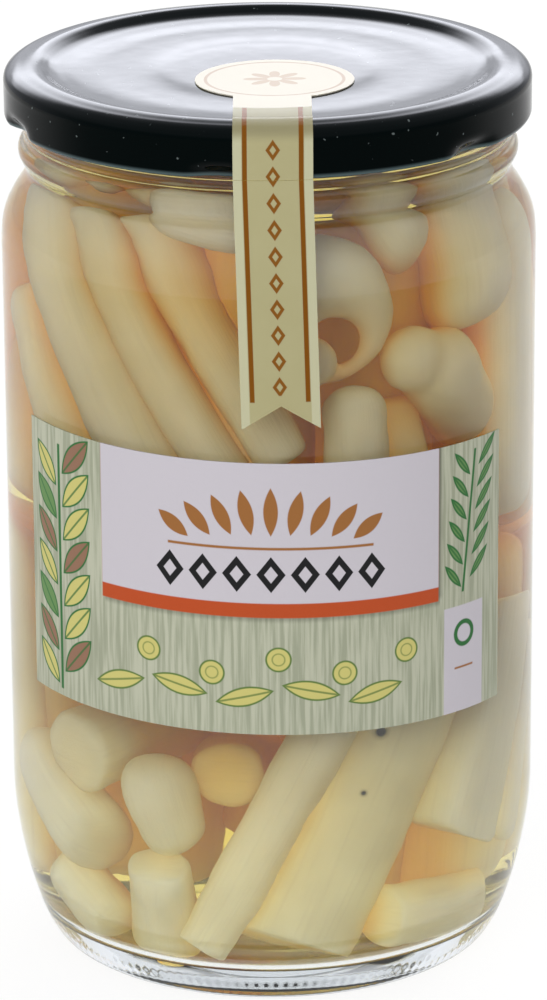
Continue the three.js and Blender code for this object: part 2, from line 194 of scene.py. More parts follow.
# Near the jar and behind it gloss shows the table as bright as it is.
near = pale.range((x * x + y * y) ** 0.5, 240, 90).math("MAXIMUM", pale.range(y, -100, 200))
glare = pale.blend(gloss * (1 - near), (1, 1, 1, 1), (TABLE_GLARE, TABLE_GLARE, TABLE_GLARE, 1))
white = pale.node("Emission", {}, {"Color": glare, "Strength": TABLE_WHITE})
seen = pale.ray("Camera").math("MAXIMUM", pale.ray("Transmission")).math("MAXIMUM", gloss)
pale.output(pale.node("MixShader", {}, {0: seen * TABLE_EVEN, 1: lit, 2: white}))
table.data.materials.append(pale.owner)


def soft_lamp(name, place, target, size, power):
    bpy.ops.object.light_add(type="AREA", location=place)
    lamp = bpy.context.object
    lamp.name = name
    lamp.data.size = size
    lamp.data.energy = power
    lamp.rotation_euler = (Vector(target) - Vector(place)).to_track_quat("-Z", "Y").to_euler()
    lamp.visible_glossy = False
    lamp.visible_transmission = False


JAR_MIDDLE = (0, 0, 75 * mm)
soft_lamp("front_lamp", (-0.55, -1.15, 0.75), JAR_MIDDLE, 0.9, 7.5)
soft_lamp("back_lamp", (0.35, 0.8, 0.8), JAR_MIDDLE, 0.8, 5.0)

# The camera stands 832 mm in front of the jar's axis and 359 mm above the table. Its angles are
# in radians.
CAMERA_PLACE = Vector((0, -0.832, 0.359))
LOOK_DOWN = 0.3303
LOOK_RIGHT = 0.0006
CAMERA_ROLL = 0.0064
LENS = 192.13

bpy.ops.object.camera_add(location=CAMERA_PLACE)
camera = bpy.context.object
camera.name = "camera"
aim = Matrix.Rotation(-LOOK_RIGHT, 3, "Z") @ Matrix.Rotation(math.pi / 2 - LOOK_DOWN, 3, "X")
camera.rotation_euler = (aim @ Matrix.Rotation(-CAMERA_ROLL, 3, "Z")).to_euler()
camera.data.lens = LENS
camera.data.sensor_width = 36
camera.data.clip_start = 0.05
scene.camera = camera


# ---- The glass jar ----
# A blown preserving jar of clear soda-lime glass: a pushed-up base on a knurled bearing ring,
# a straight body, a shoulder, a bead under the lid and a neck with six sloping ramps.

BODY_R = 43.25
WALL = 2.35
RIM_Z = 146.5
NECK_R = 39.15
LUGS = 6
LUG_ANGLE = math.radians(-10.5)   # from the label's middle to the lid's first lug

# Each point of an outline is (radius, height), or (radius, height, "corner") where it breaks.
JAR_OUTSIDE = [
    (0, 2.6), (12, 2.55), (24, 2.3), (30.6, 1.3), (32.8, 0, "corner"), (34.8, 0, "corner"),
    (36.5, 0.8), (37.7, 2.4), (38.9, 4.8), (40.0, 8.0), (41.0, 11.5), (42.0, 16.0),
    (42.75, 20.5), (43.15, 24.5), (BODY_R, 28), (BODY_R, 31), (BODY_R, 117), (BODY_R, 120),
    (42.75, 124.1), (41.2, 127.4), (39.6, 129.9), (39.0, 131.3), (39.25, 132.4), (40.0, 133.6),
    (40.3, 134.7), (40.0, 135.7), (39.3, 136.5), (NECK_R, 137.2), (NECK_R + 0.2, 137.7),
    (NECK_R, 138.2), (NECK_R, 138.9), (NECK_R + 0.12, 139.3), (NECK_R, 139.7), (NECK_R, 142),
    (NECK_R, 145.2), (38.8, 146.1), (38.2, RIM_Z),
]
JAR_INSIDE = [
    (37.2, RIM_Z), (36.4, 146.0), (36.1, 145.0), (36.1, 142), (36.1, 134), (36.2, 132.2),
    (36.9, 130.0), (38.4, 127.2), (40.0, 123.7), (40.7, 121.4), (BODY_R - WALL, 119),
    (BODY_R - WALL, 116), (BODY_R - WALL, 31), (BODY_R - WALL, 28), (40.75, 24.0), (40.3, 20.0),
    (39.3, 14.6), (37.4, 9.8), (34.2, 6.5), (28.6, 5.1), (14, 5.35), (0, 5.6),
]


def select_only(piece):
    bpy.ops.object.select_all(action="DESELECT")
    piece.select_set(True)
    bpy.context.view_layer.objects.active = piece


def turned(name, outline, steps=160, closed=False):
    """A turned piece: its outline is drawn as a curve and spun about the jar's axis."""
    bpy.ops.object.select_all(action="DESELECT")
    bpy.ops.curve.primitive_bezier_curve_add()
    piece = bpy.context.object
    piece.name = name
    piece.data.resolution_u = 5
    spline = piece.data.splines[0]
    spline.bezier_points.add(len(outline) - 2)
    spline.use_cyclic_u = closed
    for knot, (radius, height, *corner) in zip(spline.bezier_points, outline):
        knot.handle_left_type = knot.handle_right_type = "VECTOR" if corner else "AUTO"
        knot.co = (radius * mm, 0, height * mm)
    bpy.ops.object.convert(target="MESH")
    bpy.ops.object.mode_set(mode="EDIT")
    bpy.ops.mesh.select_all(action="SELECT")
    bpy.ops.mesh.remove_doubles(threshold=0.02 * mm)
    bpy.ops.mesh.spin(steps=steps, angle=2 * math.pi, center=(0, 0, 0), axis=(0, 0, 1))
    bpy.ops.mesh.select_all(action="SELECT")
    bpy.ops.mesh.remove_doubles(threshold=0.02 * mm)
    bpy.ops.mesh.normals_make_consistent(inside=False)
    bpy.ops.object.mode_set(mode="OBJECT")
    bpy.ops.object.shade_smooth_by_angle(angle=math.radians(40))
    return piece


def eased(value, low, high):
    """0 below low, 1 above high and a smooth step between them."""
    share = min(max((value - low) / (high - low), 0), 1)
    return share * share * (3 - 2 * share)


RAMP_FROM, RAMP_TO = math.radians(-5), math.radians(39)  # round the neck, from the lug's angle
RAMP_LOW, RAMP_HIGH, RAMP_SIZE, RAMP_DEPTH = 142.4, 144.45, 1.3, 1.25
RAMP_BAND = (141.5, 145.6)        # the heights between which the neck has its ramps

jar = turned("jar_body", JAR_OUTSIDE + JAR_INSIDE)
for vertex in jar.data.vertices:
    x, y, z = vertex.co / mm
    radius = math.hypot(x, y)
    if radius < 38.9 or not RAMP_BAND[0] < z < RAMP_BAND[1]:
        continue
    turn = (math.atan2(x, -y) - LUG_ANGLE - RAMP_FROM) % (2 * math.pi / LUGS)
    share = turn / (RAMP_TO - RAMP_FROM)
    if share > 1:
        continue
    middle_z = RAMP_LOW + share * (RAMP_HIGH - RAMP_LOW)
    body = 1 - eased(abs(z - middle_z), 0.2, RAMP_SIZE)
    ends = eased(share, 0, 0.12) * (1 - eased(share, 0.88, 1))
    vertex.co.xy *= 1 + RAMP_DEPTH * body * ends / radius

KNURLS = 150                      # the knurls round the bearing ring,
KNURL_DEPTH, RIPPLE_DEPTH = 0.012, 0.06   # and how high they and the glass's ripples stand

glass = Finish(bpy.data.materials.new("clear_glass"))
x, y, z = glass.place()
radius = (x * x + y * y) ** 0.5
angle = x.math("ARCTAN2", -1 * y)
knurled = glass.range(z, 0.2, 0.9) * glass.range(z, 5.2, 2.6) * glass.range(radius, 34.0, 35.2)
knurl = (angle * KNURLS).math("SINE") * knurled
relief = knurl * KNURL_DEPTH + glass.clouds(55.0, detail=1.0) * RIPPLE_DEPTH
clear = glass.node("BsdfGlass", {}, {
    "Color": (0.985, 0.995, 0.99, 1), "Roughness": 0.0, "IOR": 1.5,
    "Normal": glass.bump(1.0, relief)})
glass.output_letting_light_in(clear, (0.99, 0.995, 0.99))
jar.data.materials.append(glass.owner)
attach(jar, "jar")
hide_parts("glass_jar")


# ---- The brine ----
# Salted water, clouded and coloured amber by the roots. It fills the jar to just under the rim
# and wets the glass everywhere below that.

BRINE_Z = 141.0
WETTING = 0.07                    # how far the brine's skin reaches into the glass
CREEP = 0.6                       # how far up the glass the brine's edge is drawn
brine_wall = [(r + WETTING if r > 0 else 0, z, *c) for r, z, *c in JAR_INSIDE if z < BRINE_Z]
brine_wall = [(r, z - WETTING if r < 30 else z, *c) for r, z, *c in brine_wall]
brine_top = [(0, BRINE_Z - CREEP), (34.6, BRINE_Z - CREEP), (36.17, BRINE_Z, "corner")]
brine = turned("brine_fill", brine_top + brine_wall, steps=96)

liquid = Finish(bpy.data.materials.new("clouded_brine"))
clear = liquid.node("BsdfGlass", {}, {"Color": (1, 1, 1, 1), "Roughness": 0.0, "IOR": 1.34})
depth = liquid.node("VolumeAbsorption", {}, {"Color": (0.94, 0.8, 0.02, 1), "Density": 28.0})
liquid.output_letting_light_in(clear, (1, 1, 1), depth)
brine.data.materials.append(liquid.owner)
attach(brine, "jar")
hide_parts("brine")


# ---- The salsify sticks ----
# Peeled roots of salsify, cut square into lengths and cooked: soft cream flesh with faint
# lengthwise fibres, a little crooked, rounded at the cuts and pressed flat on the glass.

stick_nodes = sorted(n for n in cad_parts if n.startswith("salsify_stick_"))
STICK_SIDES = 7                   # sides of a stick's solid
STICK_RINGS = 20                  # the rings that its mesh is cut into
SWELLING = 1.15                   # how much cooking has swollen the sticks at the front,
RING_SWELLING, CORE_SWELLING = 1.25, 1.4  # those round the wall and those in the middle
FIRST_OF_RING, FIRST_OF_CORE = 23, 39
WALL_CLEARANCE = 0.12             # left between a stick and the glass
SOFT_PRESS = 1.0                  # how far from the glass the flattening starts
SOFT_CUT = 0.55                   # how far cooking has rounded a cut, in radii of the stick
BOW = 0.8                         # how much of the wall's curve a stick follows
CROOKED = 0.02                    # how crooked it is, in shares of its length
STROKES = 6                       # the peeler's strokes along it,
STROKE_DEPTH = 0.8                # and how flat they are: at 1 they would be planes
SKEW = 0.2                        # the steepest that a cut is askew
BUMPS, GRAIN = (13, 1.5), (3.4, 0.3)      # how wide and how high its unevenness is
LEAN = 3.5                        # how far out the middle ones, but for the last, are moved
MELTED = 0.55                     # the grid on which what is melted together is meshed anew,
STUB_MELTING, TIP_MELTING = 45, 8         # and the rounds of smoothing that follow

# What differs from one stick to another, by number. The top is the higher of its two cuts, and
# lengths are in millimetres. First, how far a cut is rounded, in radii.
CUTS = {5: 0.9, 6: 0.9, 7: 0.75, 8: 0.8, 9: 0.9, 12: 0.3, 13: 0.9, 14: 0.2, 15: 0.25, 16: 0.13,
        17: 0.1, 18: 0.2, 19: 0.25}
# How much thicker the top and the foot are than the solid's.
SIZES = {1: (1.3, 1.4), 2: (1.35, 1.15), 5: (1.05, 1.0), 6: (1.2, 1.32), 7: (1.2, 1.25),
         8: (1.4, 1.0), 10: (1.45, 1.45), 13: (1.25, 0.85), 14: (1.2, 1.3), 17: (1.25, 1.28),
         18: (1.35, 1.4), 21: (1.35, 1.4), 22: (1.3, 1.3)}
# How far the top and the foot lie from the solid's, as (x, y, z).
NUDGES = {1: ((0, 0, 8), (0, 0, 0)), 5: ((-6, -2.5, -0.5), (-9, -3.5, -3.5)),
          6: ((0, 0, 0), (2.9, -3.1, -1.8)), 7: ((3.5, -2.5, -0.8), (0, 0, -0.8)),
          8: ((1.2, 1.6, -0.8), (-4, 2, 2)), 10: ((-1.5, -3, 0), (-1.5, -3, 0)),
          13: ((0, 0, 0.6), (0.4, 0, -3)), 17: ((1.3, 0, 0), (1.1, 0, 0))}
# A stub that has grown out of it: its angle in degrees, its height, its distance from the jar's
# axis and its radius.
LOBES = {8: (37.4, 107.4, 34.6, 5.6)}


def inner_radius(height):
    """The radius of the jar's inside at a height, both in millimetres."""
    wall = [(z, r) for r, z, *corner in reversed(JAR_INSIDE)]
    for (z0, r0), (z1, r1) in zip(wall, wall[1:]):
        if z0 <= height <= z1 and z1 > z0:
            return r0 + (r1 - r0) * (height - z0) / (z1 - z0)
    return JAR_INSIDE[0][0] if height > RIM_Z else 30


def is_hub(vertex):
    """True for the middle of a cut, which all of the cut's spokes run to."""
    spokes = [edge.calc_length() for edge in vertex.link_edges]
    return len(spokes) == STICK_SIDES and max(spokes) - min(spokes) < 0.01 * mm


def cut_ends(node):
    """The middles and the radii of a stick's two cuts, in metres, from its solid."""
    solid = bmesh.new()
    solid.from_mesh(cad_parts[node].data)
    bmesh.ops.remove_doubles(solid, verts=solid.verts, dist=0.001 * mm)
    first, last = sorted((v.co.copy() for v in solid.verts if is_hub(v)), key=lambda p: -p.z)
    axis = (last - first).normalized()
    radii = [0, 0]
    for vertex in solid.verts:
        nearer = (vertex.co - first).length > (vertex.co - last).length
        radii[nearer] = max(radii[nearer], (vertex.co - first).cross(axis).length)
    solid.free()
    return first, last, radii


def pressed_on_glass(piece):
    """Where a piece would reach into the glass it is softly flattened against it."""
    for vertex in piece.data.vertices:
        x, y, z = vertex.co / mm
        radius = math.hypot(x, y)
        most = inner_radius(z) - WALL_CLEARANCE
        beyond = radius - (most - SOFT_PRESS)
        if beyond > 0:
            pressed = most - SOFT_PRESS * math.exp(-beyond / SOFT_PRESS)
            vertex.co.xy *= pressed / radius


def uneven(piece, texture, size, strength):
    """Moves the surface of a piece in and out by a cloudy texture and applies it."""
    select_only(piece)
    cloud = bpy.data.textures.new(texture, "CLOUDS")
    cloud.noise_scale = size * mm
    modifier = piece.modifiers.new("uneven", "DISPLACE")
    modifier.texture = cloud
    modifier.texture_coords = "GLOBAL"
    modifier.strength = strength * mm
    modifier.mid_level = 0.5
    bpy.ops.object.modifier_apply(modifier=modifier.name)


def grow_lobe(piece, place, radius, rounds):
    """Joins a round stub to a piece and melts the two together in rounds of smoothing."""
    bpy.ops.object.select_all(action="DESELECT")
    bpy.ops.mesh.primitive_uv_sphere_add(
        segments=24, ring_count=12, radius=radius * mm, location=place)
    piece.select_set(True)
    bpy.context.view_layer.objects.active = piece
    bpy.ops.object.join()
    remesh = piece.modifiers.new("melted", "REMESH")
    remesh.mode = "VOXEL"
    remesh.voxel_size = MELTED * mm
    bpy.ops.object.modifier_apply(modifier=remesh.name)
    soften = piece.modifiers.new("soften", "SMOOTH")
    soften.iterations = rounds
    bpy.ops.object.modifier_apply(modifier=soften.name)


def select_edges(mesh, chosen):
    """Selects, in edit mode, the edges that chosen picks by their two ends."""
    bpy.ops.object.mode_set(mode="EDIT")
    bpy.ops.mesh.select_all(action="DESELECT")
    bpy.ops.object.mode_set(mode="OBJECT")
    for edge in mesh.edges:
        edge.select = chosen(*(mesh.vertices[i].co for i in edge.vertices))
    bpy.ops.object.mode_set(mode="EDIT")
    bpy.ops.mesh.select_mode(type="EDGE")


def salsify_stick(node, number):
    """A stick modelled on its axis, then put where its solid is."""
    start, end, (radius, far_radius) = cut_ends(node)
    for point, nudge in zip((start, end), NUDGES.get(number, ())):
        point += Vector(nudge) * mm
    if FIRST_OF_CORE <= number < len(stick_nodes):
        for point in (start, end):
            point.xy *= 1 + LEAN * mm / point.xy.length
    usual = SWELLING if number < FIRST_OF_RING else RING_SWELLING
    usual = usual if number < FIRST_OF_CORE else CORE_SWELLING
    top_size, foot_size = SIZES.get(number, (usual, usual))
    radius *= top_size
    far_radius *= foot_size
    axis = end - start
    across = (start + end) / 2
    place = Matrix.Translation(across) @ axis.to_track_quat("Z", "X").to_matrix().to_4x4()
    random.seed(number)
    bpy.ops.object.select_all(action="DESELECT")
    bpy.ops.mesh.primitive_cylinder_add(vertices=20, radius=radius, depth=axis.length)
    stick = bpy.context.object
    stick.name = node + "_flesh"
    mesh = stick.data

    # The far cut has its own size, and the edges of both cuts are softened.
    for vertex in mesh.vertices:
        if vertex.co.z > 0:
            vertex.co.xy *= far_radius / radius
    soft = CUTS.get(number, SOFT_CUT)
    for side, size in ((-1, radius), (1, far_radius)):
        select_edges(mesh, lambda a, b: min(a.z * side, b.z * side) > 0.45 * axis.length)
        bpy.ops.mesh.bevel(offset=soft * size, segments=4)
    select_edges(mesh, lambda a, b: abs(a.z - b.z) > 0.2 * axis.length)
    bpy.ops.mesh.subdivide(number_cuts=STICK_RINGS)
    bpy.ops.object.mode_set(mode="OBJECT")

    # It bows out towards the glass between its ends. The peeler has left flat strokes along it,
    # and both cuts are a little askew.
    sag = (start.xy.length + end.xy.length) / 2 - across.xy.length
    outward = place.to_3x3().inverted() @ Vector((across.x, across.y, 0)).normalized()
    outward.z = 0
    bow = outward * max(sag, 0) * BOW
    bow += Vector((random.uniform(-1, 1), random.uniform(-1, 1), 0)) * CROOKED * axis.length
    strokes = [(random.uniform(0, 2 * math.pi), random.uniform(0.88, 0.97))
               for _ in range(STROKES)]
    skew = [Vector((random.uniform(-SKEW, SKEW), random.uniform(-SKEW, SKEW), 0))
            for _ in range(2)]
    for vertex in mesh.vertices:
        share = vertex.co.z / axis.length + 0.5
        here = radius + (far_radius - radius) * share
        for direction, flat in strokes:
            side = vertex.co.x * math.cos(direction) + vertex.co.y * math.sin(direction)
            extra = side - flat * here
            if extra > 0:
                vertex.co.x -= STROKE_DEPTH * extra * math.cos(direction)
                vertex.co.y -= STROKE_DEPTH * extra * math.sin(direction)
        tilt = skew[0] * (1 - eased(share, 0, 0.25)) + skew[1] * eased(share, 0.75, 1)
        vertex.co.z += tilt.x * vertex.co.x + tilt.y * vertex.co.y
        vertex.co += bow * math.sin(math.pi * share)
    mesh.transform(place)
    select_only(stick)
    smooth = stick.modifiers.new("smooth", "SUBSURF")
    smooth.levels = smooth.render_levels = 1
    bpy.ops.object.modifier_apply(modifier=smooth.name)
    if number in LOBES:
        turn, height, distance, size = LOBES[number]
        turn = math.radians(turn)
        at = Vector((distance * math.sin(turn), -distance * math.cos(turn), height)) * mm
        grow_lobe(stick, at, size, STUB_MELTING)
    uneven(stick, node + "_bumps", *BUMPS)
    uneven(stick, node + "_grain", *GRAIN)
    pressed_on_glass(stick)
    bpy.ops.object.shade_smooth_by_angle(angle=math.radians(60))
    return stick


# The flesh is painted pale on the glass and more golden the further in it lies: a painted tint that
# stands in for the amber the light takes on through the clouded brine. Where the jar narrows, at
# its shoulder and towards its foot, the same goes for smaller radii.
GOLDEN_R, PALE_R = 31.0, 37.5
SHOULDER_NARROWING, FOOT_NARROWING = 3.5, 3.0
SCARS = [(16.6, -33, 46.3, 1.0), (13.9, -35, 36.1, 0.6)]   # where they are, and their size

flesh = Finish(bpy.data.materials.new("peeled_root"))
x, y, z = flesh.place()
radius = (x * x + y * y) ** 0.5
along = flesh.node("TexCoord", {}, {}, "UV")
stretched = flesh.node("Mapping", {}, {"Vector": along, "Scale": (26.0, 1.6, 1.0)})
fibres = flesh.clouds(2.2, detail=3.0, at=stretched)
patches = flesh.clouds(70.0)
narrowing = flesh.range(z, 118, 132) * SHOULDER_NARROWING + flesh.range(z, 64, 44) * FOOT_NARROWING
outer = flesh.range(radius + narrowing, GOLDEN_R, PALE_R)
tone = flesh.blend(outer, srgb(238, 178, 24), srgb(234, 214, 166))
# Towards the foot the flesh is painted lighter still: painted light, standing in for the white
# table's light that comes up through the base.
table_lit_tone = flesh.blend(outer, srgb(252, 226, 122), srgb(253, 243, 196))
tone = flesh.blend(flesh.range(z, 62, 14), tone, table_lit_tone)
patch_tone = flesh.blend(outer, srgb(205, 142, 12), srgb(205, 186, 128))
tone = flesh.blend(flesh.range(patches, 0.35, 0.7) * 0.25, tone, patch_tone)
tone = flesh.blend(flesh.range(fibres, 0.5, 0.8) * 0.12, tone, srgb(178, 150, 98))
for scar_x, scar_y, scar_z, size in SCARS:
    off = ((x - scar_x) ** 2 + ((y - scar_y) * 0.1) ** 2 + (z - scar_z) ** 2) ** 0.5
    off = off + (patches - 0.5) * size
    tone = flesh.blend(flesh.range(off, size * 1.7, size * 0.7) * 0.5, tone, srgb(150, 130, 60))
    tone = flesh.blend(flesh.range(off, size, size * 0.5), tone, srgb(48, 38, 20))
skin = flesh.node("BsdfPrincipled", {"subsurface_method": "BURLEY"}, {
    "Base Color": tone, "Roughness": 0.55, "Subsurface Weight": 1.0,
    "Subsurface Radius": (1.0, 0.75, 0.4), "Subsurface Scale": 11 * mm,
    "Normal": flesh.bump(0.35, fibres * 0.3 + patches * 0.5)})
flesh.output_letting_light_in(skin, (0.97, 0.94, 0.84))

for number, node in enumerate(stick_nodes, 1):
    stick = salsify_stick(node, number)
    stick.data.materials.append(flesh.owner)
    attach(stick, "jar")
    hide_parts(node)

# One thin stick curled up into a hook as it was packed: thick above its eye and thin below.
HOOK_ANGLE, HOOK_Z, HOOK_DISTANCE = math.radians(12.3), 116.4, 33.8
HOOK_ROUND = 11.5                 # the radius of its outline
EYE_RIGHT, EYE_DOWN, EYE_R = 2.0, 4.4, 4.0  # its eye, from its outline's middle
HOOK_R, HOOK_BEND = 4.8, 6.7      # the even ring that it is first spun as
HOOK_FROM, HOOK_TO = math.radians(149), math.radians(-149)
TIP_R, TIP_LEFT, TIP_DOWN, TIP_OUT = 4.1, 1.4, 7.2, 1.6  # its rolled-in tip, from its middle
outward = Vector((math.sin(HOOK_ANGLE), -math.cos(HOOK_ANGLE), 0))
sideways = Vector((math.cos(HOOK_ANGLE), math.sin(HOOK_ANGLE), 0))
hook_middle = (outward * HOOK_DISTANCE + Vector((0, 0, HOOK_Z))) * mm
eye = hook_middle + (sideways * EYE_RIGHT - Vector((0, 0, EYE_DOWN))) * mm


def from_eye(turn):
    """The direction from the hook's eye at an angle, counted up from its right."""
    return sideways * math.cos(turn) + Vector((0, 0, math.sin(turn)))


start = from_eye(HOOK_FROM) * HOOK_BEND * mm
round_it = start.cross(outward).normalized()
bpy.ops.object.select_all(action="DESELECT")
bpy.ops.mesh.primitive_circle_add(
    vertices=20, radius=HOOK_R * mm, fill_type="NGON", location=eye + start,
    rotation=round_it.to_track_quat("Z", "X").to_euler())
hook = bpy.context.object
hook.name = "salsify_hook_flesh"
bpy.ops.object.transform_apply(location=True, rotation=True, scale=True)
bpy.ops.object.mode_set(mode="EDIT")
bpy.ops.mesh.select_all(action="SELECT")
bpy.ops.mesh.spin(steps=22, angle=HOOK_FROM - HOOK_TO, center=eye, axis=outward)
bpy.ops.mesh.select_all(action="SELECT")
bpy.ops.mesh.normals_make_consistent(inside=False)
bpy.ops.object.mode_set(mode="OBJECT")

# Each of its rounds is moved and sized to fill what lies between the eye and the outline.
for vertex in hook.data.vertices:
    arm = vertex.co - eye
    turn = math.atan2(arm.z, arm.dot(sideways))
    ray = from_eye(turn)
    ahead = EYE_DOWN * math.sin(turn) - EYE_RIGHT * math.cos(turn)
    aside = EYE_DOWN * math.cos(turn) + EYE_RIGHT * math.sin(turn)
    edge = ahead + math.sqrt(HOOK_ROUND ** 2 - aside ** 2)
    thick = (edge - EYE_R) / 2
    vertex.co = eye + ray * (EYE_R + thick) * mm + (arm - ray * HOOK_BEND * mm) * (thick / HOOK_R)
tip = hook_middle + (outward * TIP_OUT - sideways * TIP_LEFT - Vector((0, 0, TIP_DOWN))) * mm
grow_lobe(hook, tip, TIP_R, TIP_MELTING)
uneven(hook, "hook_bumps", 9, 0.9)
pressed_on_glass(hook)
bpy.ops.object.shade_smooth()
hook.data.materials.append(flesh.owner)
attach(hook, "jar")
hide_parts("salsify_hook")


# ---- The lid ----
# A twist-off cap pressed from thin tinplate, lacquered a near-black green: a raised ring over
# the rim, a dished panel with a low centre, and a curled edge pressed in at six lugs.

LID_R = 42.4
LID_BOTTOM = 140.0
LID_TOP = 148.45
LUG_HALF = math.radians(8.5)      # how far to each side of a lug its dent reaches
LUG_DEPTH = 1.7

LID_OUTSIDE = [
    (0, 146.78), (8.0, 146.78), (14.0, 146.8), (16.4, 146.84), (18.4, 146.93), (20.4, 146.98),
    (24.0, 147.0), (29.5, 147.02), (32.5, 147.18), (34.9, 147.5), (35.9, 147.95), (36.7, 148.3),
    (37.5, LID_TOP), (38.2, LID_TOP), (39.6, 148.22), (40.8, 147.95), (41.6, 147.5),
    (42.15, 146.95), (LID_R, 146.2), (LID_R, 145.5), (LID_R, 142.0), (LID_R, 141.2),
    (42.35, 140.6), (42.0, 140.1), (41.6, LID_BOTTOM),
]
LID_INSIDE = [
    (41.15, 140.15), (41.0, 140.55), (41.15, 140.95), (41.6, 141.2), (41.85, 141.6),
    (41.9, 142.4), (41.9, 145.5), (41.85, 146.4), (41.5, 147.1), (40.8, 147.7), (40.1, 147.95),
    (39.4, 147.95), (38.9, 147.8), (37.6, 147.35), (36.0, 146.95), (33.6, 146.66),
    (29.5, 146.52), (20.1, 146.47), (18.7, 146.25), (9, 146.25), (0, 146.25),
]

lid = turned("twist_lid", LID_OUTSIDE + LID_INSIDE, steps=180)
for vertex in lid.data.vertices:
    x, y, z = vertex.co / mm
    radius = math.hypot(x, y)
    turn = (math.atan2(x, -y) - LUG_ANGLE + math.pi / LUGS) % (2 * math.pi / LUGS) - math.pi / LUGS
    at_lug = 1 - eased(abs(turn), 0.15 * LUG_HALF, LUG_HALF)
    at_edge = 1 - eased(z, LID_BOTTOM + 0.4, LID_BOTTOM + 3.0)
    if radius > 39 and at_lug * at_edge > 0:
        vertex.co.xy *= 1 - LUG_DEPTH * at_lug * at_edge / radius

lacquer = Finish(bpy.data.materials.new("green_lacquer"))
x, y, z = lacquer.place()
peel = lacquer.clouds(260.0)
dust = lacquer.clouds(900.0, detail=1.0)
# The curled edge below the lacquer is bare tinplate, painted a pale grey-blue: partly its own
# colour and partly a painted reflection of the white table, which it faces at a slant.
bare_curl_and_glint = lacquer.range(z, 141.0, 140.3)
tone = lacquer.blend(bare_curl_and_glint, srgb(0, 5, 5), srgb(74, 90, 92))
tone = lacquer.blend(lacquer.range(dust, 0.74, 0.78) * 0.5, tone, srgb(120, 130, 130))
lacquer.output(lacquer.node("BsdfPrincipled", {}, {
    "Base Color": tone, "Roughness": lacquer.range(peel, 0.3, 0.7, 0.09, 0.13), "IOR": 1.15,
    "Normal": lacquer.bump(0.012, peel)}))
lid.data.materials.append(lacquer.owner)
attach(lid, "lid")
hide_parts("lid_cap")


# ---- The sealing compound ----
# A soft cream ring poured into the lid's channel, with the dent that the rim presses in it.

liner = turned("sealing_ring", [
    (37.15, 146.7), (38.2, 146.62), (39.4, 146.6), (40.2, 146.62), (40.8, 146.9), (40.95, 147.2),
    (40.5, 147.5), (39.9, 147.72), (39.3, 147.72), (38.7, 147.52), (37.3, 147.08), (37.1, 146.9),
], steps=120, closed=True)
compound = Finish(bpy.data.materials.new("cream_compound"))
mottle = compound.clouds(300.0)
tone = compound.blend(mottle, srgb(214, 208, 194), srgb(228, 224, 212))
compound.output(compound.node("BsdfPrincipled", {}, {
    "Base Color": tone, "Roughness": 0.45, "Normal": compound.bump(0.2, mottle)}))
liner.data.materials.append(compound.owner)
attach(liner, "lid")
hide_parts("lid_liner")


# ---- The label ----
# A paper label pasted two thirds of the way round the front, a little askew: a pale panel over
# a ruled grey-green ground, with sprays of leaves and cut slices printed round it.

PAPER = 0.2
SKIN_GAP = 0.1                    # left for the paste between the glass and the label
LABEL_FROM, LABEL_TO = math.radians(-61), math.radians(57)
LABEL_LOW, LABEL_HIGH = 49.3, 94.6
LABEL_SLOPE = 0.023               # how much it falls for each step to the right
LABEL_R = BODY_R + SKIN_GAP

bpy.ops.object.select_all(action="DESELECT")
bpy.ops.mesh.primitive_grid_add(x_subdivisions=90, y_subdivisions=24, size=2)
label = bpy.context.object
label.name = "paper_label"
for vertex in label.data.vertices:
    turn = LABEL_FROM + (LABEL_TO - LABEL_FROM) * (vertex.co.x + 1) / 2
    height = LABEL_LOW + (LABEL_HIGH - LABEL_LOW) * (vertex.co.y + 1) / 2
    height -= LABEL_SLOPE * BODY_R * turn
    vertex.co = Vector((LABEL_R * math.sin(turn), -LABEL_R * math.cos(turn), height)) * mm
sheet = label.modifiers.new("sheet", "SOLIDIFY")
sheet.thickness = PAPER * mm
sheet.offset = 1
bpy.ops.object.modifier_apply(modifier=sheet.name)
bpy.ops.object.shade_smooth_by_angle(angle=math.radians(40))

print_ink = Finish(bpy.data.materials.new("label_print"))
x, y, z = print_ink.place()
across = x.math("ARCTAN2", -1 * y) * LABEL_R        # millimetres round the jar
rise = z + across * LABEL_SLOPE                     # millimetres up, square to the label
edge = 0.12                                         # how soft the print's edges are


def inside(value, low, high):
    """1 where value is between low and high."""
    above = print_ink.range(value, low - edge, low + edge)
    return above * print_ink.range(value, high + edge, high - edge)


def printed(ground, mask, ink):
    """The ground with an ink over it where mask is 1."""
    return print_ink.blend(mask, ground, srgb(*ink))


def leaf_shape(at, length, width, turn):
    """How far inside an almond-shaped leaf a point is, and its place across the leaf."""
    du, dv = across - at[0], rise - at[1]
    cos, sin = math.cos(math.radians(turn)), math.sin(math.radians(turn))
    lengthwise = (du * cos + dv * sin) * (2 / length)
    sidewise = dv * cos - du * sin
    return (1 - lengthwise * lengthwise) * (width / 2) - abs(sidewise), abs(sidewise)


def leaf(ground, at, length, width, turn, fill, line):
    """The ground with an outlined leaf on it, with a vein down its middle."""
    depth, side = leaf_shape(at, length, width, turn)
    ground = printed(ground, print_ink.range(depth, -0.1, 0.1), line)
    ground = printed(ground, print_ink.range(depth, 0.22, 0.4), fill)
    vein = print_ink.range(side, 0.24, 0.1) * print_ink.range(depth, 0.1, 0.3)
    return printed(ground, vein * 0.8, line)


def slice_of_root(ground, at, size, fill, line):
    """The ground with an outlined round slice on it, with a ring in its middle."""
    du, dv = across - at[0], rise - at[1]
    off = (du * du + dv * dv) ** 0.5
    ground = printed(ground, print_ink.range(off, size + 0.1, size - 0.1), line)
    ground = printed(ground, print_ink.range(off, size - 0.2, size - 0.4), fill)
    ring = inside(off, size * 0.42, size * 0.42 + 0.22)
    return printed(ground, ring * 0.7, line)


GREEN, OLIVE = (38, 104, 48), (92, 118, 58)
STRAW, MOSS, BARK = (196, 188, 112), (98, 136, 78), (140, 104, 82)

